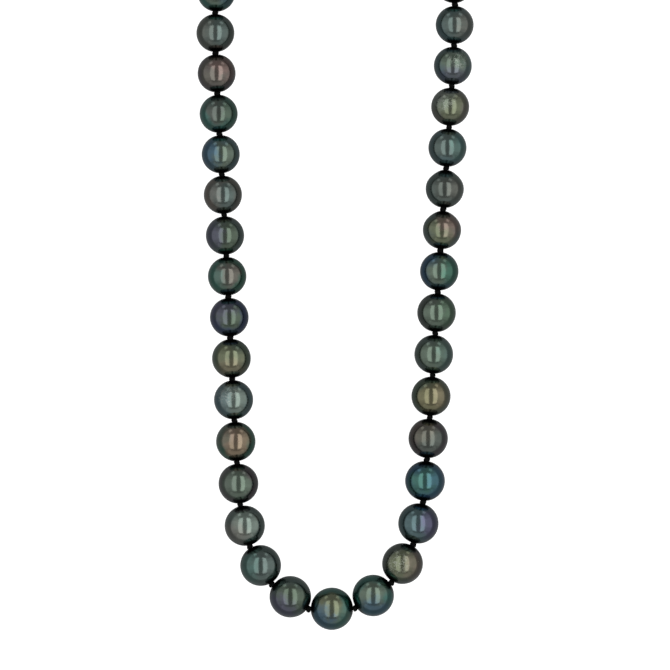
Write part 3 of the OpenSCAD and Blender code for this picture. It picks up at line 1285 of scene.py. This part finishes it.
# Each has its crown, rim, blush and the blush's flank, then how strong the blush is. Depth of circles,
# share of pits and a wrinkled patch follow where they differ from the usual ones.
CENTRE_PEARL = NacreFinish(Tone.KHAKI, Tone.TEAL, Tone.BLUE, Flank.NEAR_LEFT, 0.8)
LEFT_PEARLS = [
    NacreFinish(Tone.MOSS, Tone.SLATE, Tone.VIOLET, Flank.NEAR_LEFT, 0.65),
    NacreFinish(Tone.SLATE, Tone.SLATE, Tone.TEAL, Flank.LEFT, 0.5, 0.5, 0.14),
    NacreFinish(Tone.SILVER, Tone.SLATE, Tone.ROSE, Flank.NEAR_LEFT, 0.35, 0.5, 0.1),
    NacreFinish(Tone.SAGE, Tone.AUBERGINE, Tone.CHARCOAL, Flank.LEFT, 0.5),
    NacreFinish(Tone.COPPER, Tone.PEACOCK, Tone.ROSE, Flank.FAR_LEFT, 0.4, 0.5, 0.14),
    NacreFinish(Tone.SILVER, Tone.STEEL, Tone.BLUE, Flank.LEFT, 0.3, 0.3, 0.06, Flank.HIGH_FAR_LEFT),
    NacreFinish(Tone.KHAKI, Tone.MOSS, Tone.COPPER, Flank.NEAR, 0.5),
    NacreFinish(Tone.MOSS, Tone.NAVY, Tone.VIOLET, Flank.FAR_LEFT, 0.6),
    NacreFinish(Tone.TAUPE, Tone.PEACOCK, Tone.TEAL, Flank.LEFT, 0.6, 0.3, 0.06),
    NacreFinish(Tone.MOSS, Tone.SLATE, Tone.VIOLET, Flank.LEFT, 0.6),
    NacreFinish(Tone.SLATE, Tone.TAUPE, Tone.ROSE, Flank.LEFT, 0.3, 0.3, 0.08),
    NacreFinish(Tone.SAGE, Tone.STEEL, Tone.BLUE, Flank.LEFT, 0.8),
    NacreFinish(Tone.CHARCOAL, Tone.TEAL, Tone.GREEN, Flank.RIGHT, 0.4),
    NacreFinish(Tone.TAUPE, Tone.AUBERGINE, Tone.ROSE, Flank.FAR_RIGHT, 0.85),
    NacreFinish(Tone.SLATE, Tone.CHARCOAL, Tone.TAUPE, Flank.LEFT, 0.5, 0.4, 0.06),
    NacreFinish(Tone.SAGE, Tone.TEAL, Tone.BLUE, Flank.RIGHT, 0.5),
    NacreFinish(Tone.KHAKI, Tone.MOSS, Tone.GREEN, Flank.RIGHT, 0.4),
    NacreFinish(Tone.STEEL, Tone.TEAL, Tone.BLUE, Flank.LEFT, 0.4),
    NacreFinish(Tone.TAUPE, Tone.AUBERGINE, Tone.ROSE, Flank.FAR, 0.4),
    NacreFinish(Tone.MOSS, Tone.PEACOCK, Tone.VIOLET, Flank.NEAR, 0.4),
]
RIGHT_PEARLS = [
    NacreFinish(Tone.SAGE, Tone.TEAL, Tone.BLUE, Flank.NEAR, 0.7),
    NacreFinish(Tone.KHAKI, Tone.CHARCOAL, Tone.ROSE, Flank.RIGHT, 0.5, 0.5, 0.14, Flank.HIGH_LEFT),
    NacreFinish(Tone.STEEL, Tone.STEEL, Tone.VIOLET, Flank.RIGHT, 0.8),
    NacreFinish(Tone.TEAL, Tone.BLUE, Tone.BLUE, Flank.RIGHT, 0.6, 0.3, 0.02),
    NacreFinish(Tone.CHARCOAL, Tone.AUBERGINE, Tone.COPPER, Flank.FAR_LEFT, 0.3),
    NacreFinish(Tone.GOLD, Tone.MOSS, Tone.COPPER, Flank.RIGHT, 0.4, 0.9, 0.08),
    NacreFinish(Tone.SAGE, Tone.SLATE, Tone.TEAL, Flank.RIGHT, 0.3),
    NacreFinish(Tone.SAGE, Tone.CHARCOAL, Tone.GREEN, Flank.RIGHT, 0.6),
    NacreFinish(Tone.SAGE, Tone.BLUE, Tone.PEACOCK, Flank.RIGHT, 0.9),
    NacreFinish(Tone.KHAKI, Tone.SLATE, Tone.ROSE, Flank.FAR_RIGHT, 0.8, 0.3, 0.06),
    NacreFinish(Tone.CHARCOAL, Tone.SLATE, Tone.TAUPE, Flank.RIGHT, 0.4),
    NacreFinish(Tone.SLATE, Tone.STEEL, Tone.TEAL, Flank.RIGHT, 0.4),
    NacreFinish(Tone.KHAKI, Tone.TAUPE, Tone.SILVER, Flank.FAR_LEFT, 0.5, 0.8, 0.16, Flank.HIGH_FAR_LEFT),
    NacreFinish(Tone.SAGE, Tone.STEEL, Tone.VIOLET, Flank.NEAR, 0.5, 0.5, 0.1, Flank.HIGH_FAR_RIGHT),
    NacreFinish(Tone.SLATE, Tone.STEEL, Tone.TAUPE, Flank.RIGHT, 0.7),
    NacreFinish(Tone.TEAL, Tone.SLATE, Tone.GREEN, Flank.LEFT, 0.4),
    NacreFinish(Tone.MOSS, Tone.TEAL, Tone.TEAL, Flank.RIGHT, 0.4),
    NacreFinish(Tone.TAUPE, Tone.AUBERGINE, Tone.ROSE, Flank.LEFT, 0.4),
    NacreFinish(Tone.SLATE, Tone.STEEL, Tone.BLUE, Flank.RIGHT, 0.4),
    NacreFinish(Tone.KHAKI, Tone.MOSS, Tone.COPPER, Flank.NEAR, 0.4),
]
# Pearls with a pointed shoulder, and how far it falls away
DROPS = {"pearl_right_10": 0.07, "pearl_right_11": 0.09, "pearl_left_13": 0.015}


@dataclass(frozen=True)
class Arm:
    """One arm of the strand.

    Attributes:
        side: left or right.
        end_joint: The joint at the loop past its last pearl.
        finishes: Its pearls' nacre, from the centre pearl out.
        seed: Shifts its pearls' patterns, so that the arms don't repeat each other.
        knot_turn: Turns its knots about their thread, for the same reason.
        knot_pull: Shifts how unevenly its knots are drawn.
    """

    side: str
    end_joint: str
    finishes: list[NacreFinish]
    seed: float = 0.0
    knot_turn: float = 0.0
    knot_pull: float = 0.0


ARMS = (
    Arm("left", "clasp_ring_turn", LEFT_PEARLS),
    Arm("right", "catch_ring_turn", RIGHT_PEARLS, seed=77.7, knot_turn=1.1, knot_pull=2.0),
)


@dataclass
class Strand:
    """Every pearl, knot and thread, from the centre pearl out along both arms.

    Attributes:
        joints: Each joint's place, by name.
        slots: Each node's material slot, by name.
        silk: The silk's material.
        coil: The material of the sleeves' wire.
        pearls: Pearls on each arm.
        centre_seed: The centre pearl's own seed.
        seed_step: From one pearl's pattern to the next one's.
        turn_step: From one knot's turn to the next one's, in radians.
        pull: How much wider or narrower a knot is drawn.
        pull_step: From one knot's pull to the next one's.
        thread_end: How far short of the end loop's middle the thread stops.
    """

    joints: dict[str, Vector]
    slots: dict[str, str]
    silk: Material
    coil: Material
    pearls: int = 20
    centre_seed: float = 0.7
    seed_step: float = 3.1
    turn_step: float = 2.4
    pull: float = 0.06
    pull_step: float = 5.3
    thread_end: float = 1.0 * MM

    def knots(self, arm: Arm) -> list[Vector]:
        """An arm's knots, from the centre pearl to the loop at its end."""
        names = [f"knot_{arm.side}_{n:02d}" for n in range(1, self.pearls + 1)] + [arm.end_joint]
        return [self.joints[name] for name in names]

    def plan(self) -> list[Pearl]:
        """Every pearl with its place and its finish."""
        left, right = (self.knots(arm)[0] for arm in ARMS)
        node, body = "pearl_centre", "strand_centre"
        slot = self.slots[node]
        pearls = [Pearl(node, body, slot, left, right, CENTRE_PEARL, Shape(), self.centre_seed)]
        for arm in ARMS:
            knots = self.knots(arm)
            for n, finish in enumerate(arm.finishes, start=1):
                body = f"{arm.side}_{n:02d}"
                node = f"pearl_{body}"
                seed = self.seed_step * n + arm.seed
                shape = Shape(point=DROPS.get(node, 0.0))
                start, end = knots[n - 1], knots[n]
                pearls.append(Pearl(node, body, self.slots[node], start, end, finish, shape, seed))
        return pearls

    def build(self) -> None:
        """Builds the pearls, then the silk."""
        master = DrilledPearl().build()
        plan = self.plan()
        for pearl in plan:
            pearl.build(master)
            log.info("%s on %s", pearl.node, pearl.body)
        discard(master)
        self._build_knots()
        self._build_threads(plan)

    def _dress_silk(self, piece: Object, body: str) -> None:
        """Dresses a piece of silk and hands it to its body."""
        hand_over(piece, self.silk, body, "silk_cord")

    def _build_knots(self) -> None:
        """A knot in every gap, each turned and drawn a little differently."""
        master = SilkKnot().build()
        for arm in ARMS:
            knots = self.knots(arm)
            for n in range(1, self.pearls + 1):
                at = knots[n - 1]
                along = knots[n] - at
                turn = Matrix.Rotation(self.turn_step * n + arm.knot_turn, 4, "Z")
                uneven = 1 + self.pull * math.sin(self.pull_step * n + arm.knot_pull)
                drawn = Matrix.Diagonal((uneven, 2 - uneven, 1.0, 1.0))
                body = f"{arm.side}_{n:02d}"
                self._dress_silk(own_copy(master, f"knot_{body}_silk", aim(at, along) @ drawn @ turn), body)
        discard(master)
        log.info("knots tied on both arms")

    def _build_threads(self, plan: list[Pearl]) -> None:
        """The doubled thread through every pearl, and the loops at both ends."""
        for pearl in plan:
            run = pearl.end - pearl.start
            last = pearl.node.endswith(f"_{self.pearls:02d}")
            length = run.length - (self.thread_end if last else 0.0)
            piece = SilkThread().build(length)
            piece.name = f"{pearl.node}_thread"
            piece.data.transform(aim(pearl.start, run))
            self._dress_silk(piece, pearl.body)
        for arm in ARMS:
            knots = self.knots(arm)
            away = (knots[-1] - knots[-2]).copy()
            away.z = 0
            loop = EndLoop(arm.side, knots[-1], away.normalized())
            last_body = f"{arm.side}_{self.pearls:02d}"
            loop.build_silk(self.silk, last_body)
            loop.build_sleeve(self.coil, last_body)
        log.info("thread, end loops and coiled sleeves laid")


# ---------------------------------------------------------------- studio


@dataclass
class Studio:
    """The pale floor, the soft lamps and the camera straight above.

    Attributes:
        view_width: How much of the surface the camera sees.
        view_centre: The middle of the view.
        camera_height: How far the camera is above the pearls' middles.
        lamp_height: How high the two strip lamps hang.
        strip_angles: Where a strip starts and ends, in degrees from straight up.
        strip_reach: How far the strips run to the front and to the back, in degrees.
        strip_power: How bright the strips are.
        spot_at: Where the right one of the two small lamps behind hangs.
        spot_size: Its two sides.
        spot_share: Its brightness, as a share of the strips'.
        card_at: Where the front card stands.
        card_size: Its two sides.
        card_share: Its brightness, as a share of the strips'.
        panel_power: How bright the side panels are.
        panel_lengths: Each side's panels, one behind the other, so that the light thins out to the ends.
        panel_share: Each panel's brightness, as a share of panel_power.
        panel_at: Where the right side's first panel hangs.
        panel_step: From one panel to the next.
        panel_width: A panel's other side.
        right_bias: How much brighter the right side is, and the left side darker.
        tent: How bright the surroundings are.
        floor_size: The floor's side.
        inside: Half the width of the darker card that the pearls see within the loop: painted shade in their
            reflections.
        inside_fade: Half the width of that card's edge.
        ahead: Where the card ends in front of the strand.
        painted_shade_within: The card's grey within the loop.
        card_around: Its grey outside the loop.
    """

    view_width: float = 0.1735
    view_centre: tuple[float, float] = (0.0, -0.0277)
    camera_height: float = 1.2
    lamp_height: float = 1.0
    strip_angles: tuple[float, float] = (13.0, 38.0)
    strip_reach: float = 46.0
    strip_power: float = 1.6
    spot_at: tuple[float, float, float] = (0.55, 1.0, 0.30)
    spot_size: tuple[float, float] = (0.3, 0.34)
    spot_share: float = 0.5
    card_at: tuple[float, float, float] = (0.0, -1.0, 0.34)
    card_size: tuple[float, float] = (1.6, 0.5)
    card_share: float = 0.2
    panel_power: float = 0.56
    panel_lengths: tuple[float, ...] = (1.0, 2.0, 3.4)
    panel_share: float = 0.35
    panel_at: tuple[float, float, float] = (1.1, 0.0, 0.62)
    panel_step: tuple[float, float, float] = (0.06, 0.0, 0.03)
    panel_width: float = 1.2
    right_bias: float = 0.1
    tent: float = 0.42
    floor_size: float = 8.0
    inside: float = 0.029
    inside_fade: float = 0.008
    ahead: tuple[float, float] = (0.072, 0.1)
    painted_shade_within: Colour = (0.25, 0.26, 0.26)
    card_around: Colour = (0.3, 0.31, 0.31)

    def floor(self) -> None:
        """A plain white surface. What glossy nacre sees of it is a greyer card, with painted shade that makes it
        darker within the loop.
        """
        rest_nothing_selected()
        bpy.ops.mesh.primitive_plane_add(size=self.floor_size, location=(0, 0, 0))
        plane = newly_made("floor")
        material, kit = new_material("floor_white")
        seen = kit.node("ShaderNodeLightPath").outputs["Is Camera Ray"]
        across, forth, _ = kit.parts(kit.object_place())
        # Painted shade: the grey that glossy rays see is darker within the loop, to darken the pearls' reflections
        # of the loop's inside
        edges = (self.inside - self.inside_fade, self.inside + self.inside_fade)
        aside = kit.ramp(kit.maths("ABSOLUTE", across), *edges)
        ahead = kit.ramp(kit.scaled(forth, -1.0), *self.ahead)
        outside = kit.maths("MAXIMUM", aside, ahead)
        kit.surface(
            {
                "Base Color": kit.mix(outside, rgba(self.painted_shade_within), rgba(self.card_around)),
                "Roughness": 0.9,
                "Specular IOR Level": 0.0,
                "Emission Color": (1.0, 1.0, 1.0, 1.0),
                "Emission Strength": seen,
            }
        )
        dress(plane, material)

    def lamp(self, name: str, at: Vector, target: Vector, size: tuple[float, float], radiance: float) -> None:
        """A soft rectangular lamp.

        Args:
            name: The lamp's name.
            at: Where it hangs.
            target: What it faces.
            size: Its two sides.
            radiance: How bright its face is.
        """
        data = bpy.data.lights.new(name, "AREA")
        data.shape = "RECTANGLE"
        data.size, data.size_y = size
        data.energy = radiance * math.pi * size[0] * size[1]
        lamp = in_scene(name, data)
        facing = (target - at).normalized()
        lamp.rotation_mode = "QUATERNION"
        lamp.rotation_quaternion = facing.to_track_quat("-Z", "Y")
        lamp.location = at
        lamp.visible_camera = False

    def light(self) -> None:
        """Two long strips overhead, two small lamps low behind, a low front card and the tent."""
        strand = Vector((0, 0, 0))
        sides = (("left", -1), ("right", 1))
        near, far = (math.tan(math.radians(a)) * self.lamp_height for a in self.strip_angles)
        length = 2 * math.tan(math.radians(self.strip_reach)) * self.lamp_height
        for name, side in sides:
            at = Vector((side * (near + far) / 2, 0, self.lamp_height))
            power = self.strip_power * (1 + side * self.right_bias)
            self.lamp(f"strip_{name}", at, at - Vector((0, 0, 1)), (far - near, length), power)
        for name, side in sides:
            at = Vector((side * self.spot_at[0], *self.spot_at[1:]))
            self.lamp(f"spot_{name}", at, strand, self.spot_size, self.strip_power * self.spot_share)
        card_power = self.strip_power * self.card_share
        self.lamp("front_card", Vector(self.card_at), strand, self.card_size, card_power)
        for name, side in sides:
            for layer, length in enumerate(self.panel_lengths):
                at = Vector(self.panel_at) + layer * Vector(self.panel_step)
                at.x *= side
                power = self.panel_power * self.panel_share * (1 + side * self.right_bias)
                self.lamp(f"panel_{name}_{length:.0f}", at, strand, (length, self.panel_width), power)
        world = bpy.data.worlds.new("tent")
        bpy.context.scene.world = world
        world.use_nodes = True
        back = world.node_tree.nodes["Background"]
        back.inputs["Color"].default_value = (1.0, 1.0, 1.0, 1.0)
        back.inputs["Strength"].default_value = self.tent

    def camera(self) -> None:
        """A long lens straight above the strand's front, with the clasp past the top of the view."""
        data = bpy.data.cameras.new("above")
        data.sensor_width = 36.0
        data.lens = data.sensor_width * self.camera_height / self.view_width
        data.clip_end = 20.0
        camera = in_scene("above", data)
        camera.location = (*self.view_centre, self.camera_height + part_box("pearl_centre")[1].z / 2)
        bpy.context.scene.camera = camera
        bpy.context.scene.view_settings.view_transform = "Standard"

    def build(self) -> None:
        """Sets up the whole studio."""
        self.floor()
        self.light()
        self.camera()


def main() -> None:
    """Builds the necklace and its studio in order."""
    logging.basicConfig(level=logging.INFO, format="%(message)s")
    joints = {joint["name"]: Vector(joint["pos_m"]) for joint in frame["joints"]}
    slots = {part["node"]: part["material_slot"] for part in frame["record"]["subparts"]}
    Strand(joints, slots, SilkFinish().material(), COILED_WIRE.material()).build()
    clasp = Clasp(
        joints["clasp_turn"],
        joints["lever_press"],
        joints["clasp_ring_turn"],
        joints["catch_ring_turn"],
        WHITE_GOLD.material(),
        SPRING_STEEL.material(),
    )
    for piece in clasp.build():
        log.info("%s fitted", piece.name)
    Studio().build()


if __name__ == "__main__":
    main()
